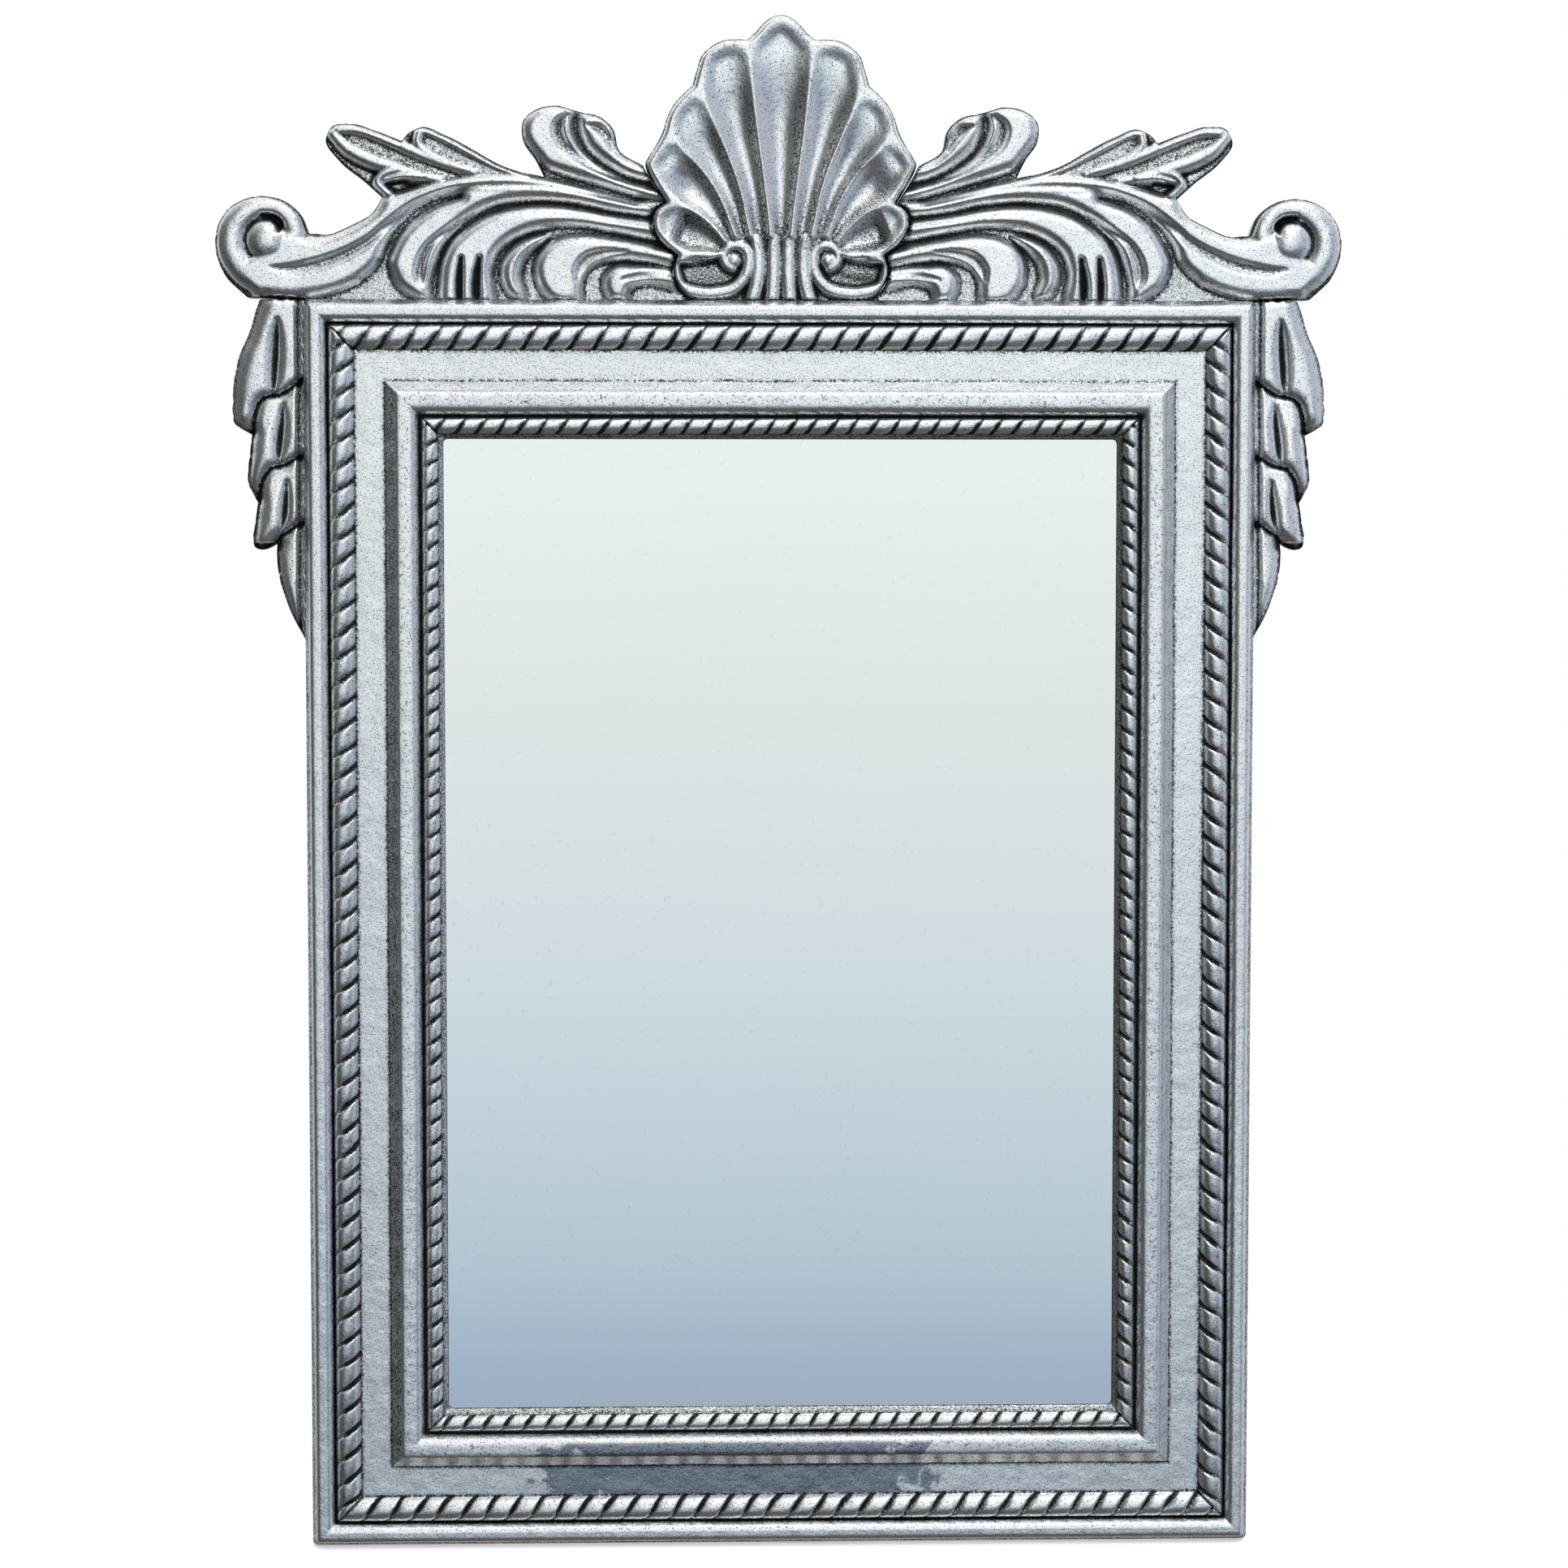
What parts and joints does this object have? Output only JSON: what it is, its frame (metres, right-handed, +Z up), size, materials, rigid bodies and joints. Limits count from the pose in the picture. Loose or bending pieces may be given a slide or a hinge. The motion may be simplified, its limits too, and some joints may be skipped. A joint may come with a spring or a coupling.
{
  "type": "wall mirror",
  "caption": "Upright rectangular wall mirror in a cast pewter-look frame with twisted-rope mouldings, a shell crest with scrolled wings, and leaves down its sides.",
  "frame": {"origin": "on the wall plane, behind the middle of the rectangular frame", "axes": "+Z up, +X to the right seen from the front, +Y into the wall, so the glass faces -Y"},
  "size_m": [0.498, 0.023, 0.6795],
  "materials": {
    "pewter": "sand-cast pewter look, buffed high spots, dark patina in the recesses",
    "mirror": "silvered float glass",
    "backing": "brown hardboard",
    "hardware": "zinc-plated steel",
    "felt": "black felt"
  },
  "bodies": {
    "mirror": {"frame_casting": "pewter", "outer_rope_top": "pewter", "outer_rope_right": "pewter", "outer_rope_bottom": "pewter", "outer_rope_left": "pewter", "inner_rope_top": "pewter", "inner_rope_right": "pewter", "inner_rope_bottom": "pewter", "inner_rope_left": "pewter", "shell_crest": "pewter", "left_scroll_wing": "pewter", "right_scroll_wing": "pewter", "left_leaf_drop": "pewter", "right_leaf_drop": "pewter", "mirror_glass": "mirror", "backing_board": "backing", "left_hanger_strap": "hardware", "right_hanger_strap": "hardware", "turn_button_screws": "hardware", "hanger_screws": "hardware", "crest_screws": "hardware", "leaf_screws": "hardware", "wall_pads": "felt"},
    "turn_button_top_body": {"turn_button_top": "hardware"},
    "turn_button_bottom_body": {"turn_button_bottom": "hardware"},
    "turn_button_upper_left_body": {"turn_button_upper_left": "hardware"},
    "turn_button_lower_left_body": {"turn_button_lower_left": "hardware"},
    "turn_button_upper_right_body": {"turn_button_upper_right": "hardware"},
    "turn_button_lower_right_body": {"turn_button_lower_right": "hardware"},
    "left_ring_body": {"left_hanger_ring": "hardware"},
    "right_ring_body": {"right_hanger_ring": "hardware"}
  },
  "joints": [
    {"name": "turn_button_top_turn", "type": "hinge", "parent": "mirror", "child": "turn_button_top_body", "pos_m": [0, -0.0063, 0.2267], "axis": [0, 1, 0], "range_deg": [-90, 90]},
    {"name": "turn_button_bottom_turn", "type": "hinge", "parent": "mirror", "child": "turn_button_bottom_body", "pos_m": [0, -0.0063, -0.2267], "axis": [0, 1, 0], "range_deg": [-90, 90]},
    {"name": "turn_button_upper_left_turn", "type": "hinge", "parent": "mirror", "child": "turn_button_upper_left_body", "pos_m": [-0.1592, -0.0063, 0.11], "axis": [0, 1, 0], "range_deg": [-90, 90]},
    {"name": "turn_button_lower_left_turn", "type": "hinge", "parent": "mirror", "child": "turn_button_lower_left_body", "pos_m": [-0.1592, -0.0063, -0.11], "axis": [0, 1, 0], "range_deg": [-90, 90]},
    {"name": "turn_button_upper_right_turn", "type": "hinge", "parent": "mirror", "child": "turn_button_upper_right_body", "pos_m": [0.1592, -0.0063, 0.11], "axis": [0, 1, 0], "range_deg": [-90, 90]},
    {"name": "turn_button_lower_right_turn", "type": "hinge", "parent": "mirror", "child": "turn_button_lower_right_body", "pos_m": [0.1592, -0.0063, -0.11], "axis": [0, 1, 0], "range_deg": [-90, 90]},
    {"name": "left_ring_swing", "type": "hinge", "parent": "mirror", "child": "left_ring_body", "pos_m": [-0.183, -0.00785, 0.1], "axis": [-1, 0, 0], "range_deg": [0, 160]},
    {"name": "right_ring_swing", "type": "hinge", "parent": "mirror", "child": "right_ring_body", "pos_m": [0.183, -0.00785, 0.1], "axis": [-1, 0, 0], "range_deg": [0, 160]}
  ]
}
